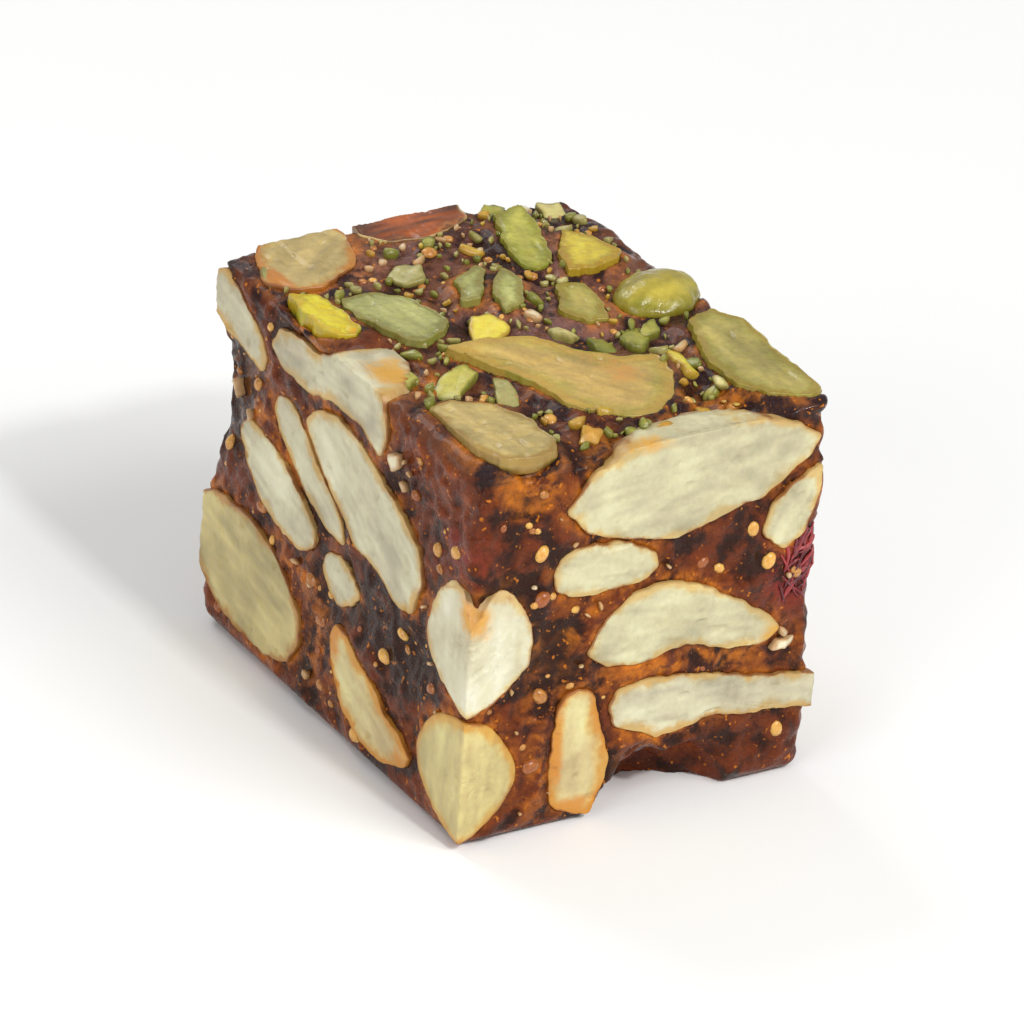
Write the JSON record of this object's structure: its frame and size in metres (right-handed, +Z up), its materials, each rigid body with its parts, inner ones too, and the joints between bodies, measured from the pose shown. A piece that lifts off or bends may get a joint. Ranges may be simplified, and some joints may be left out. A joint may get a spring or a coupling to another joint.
{
  "type": "fig halwa",
  "caption": "Cut block of dark fig halwa, full of sliced almonds and golden fig seeds, under a crust of pistachio slices.",
  "frame": {"origin": "middle of the block's footprint, on the surface that it rests on", "axes": "+Z up, +Y along the longer side of the block, away from the face whose upper edge holds the largest almond; -X out of the other face that the picture shows"},
  "size_m": [0.0286, 0.037, 0.0296],
  "materials": {
    "fig_paste": "sticky dark brown paste, unevenly glossy",
    "almond": "cut nut, cream, stained amber at its rim",
    "pistachio": "cut nut, olive to khaki green, satin"
  },
  "bodies": {
    "root": {"almond_back_1": "almond", "almond_back_2": "almond", "almond_back_3": "almond", "almond_back_4": "almond", "almond_back_5": "almond", "almond_back_6": "almond", "almond_back_7": "almond", "almond_edge_lower": "almond", "almond_edge_upper": "almond", "almond_front_corner": "almond", "almond_front_middle": "almond", "almond_front_short": "almond", "almond_front_strip": "almond", "almond_front_top": "almond", "almond_front_upright": "almond", "almond_left_back_top": "almond", "almond_left_bottom": "almond", "almond_left_large": "almond", "almond_left_low_middle": "almond", "almond_left_small": "almond", "almond_left_strip": "almond", "almond_left_thin": "almond", "almond_left_top": "almond", "almond_right_1": "almond", "almond_right_2": "almond", "almond_right_3": "almond", "almond_right_4": "almond", "almond_right_5": "almond", "almond_right_6": "almond", "almond_right_7": "almond", "almond_right_8": "almond", "almond_right_9": "almond", "almond_top_back": "almond", "almond_top_corner": "almond", "almond_under_1": "almond", "almond_under_2": "almond", "almond_under_3": "almond", "fig_paste": "fig_paste", "pistachio_front_left": "pistachio", "pistachio_half": "pistachio", "pistachio_khaki": "pistachio", "pistachio_large": "pistachio", "pistachio_left_edge": "pistachio", "pistachio_long": "pistachio", "pistachio_middle_left": "pistachio", "pistachio_middle_right": "pistachio", "pistachio_mustard": "pistachio", "pistachio_pitted": "pistachio", "pistachio_right": "pistachio"}
  },
  "joints": []
}
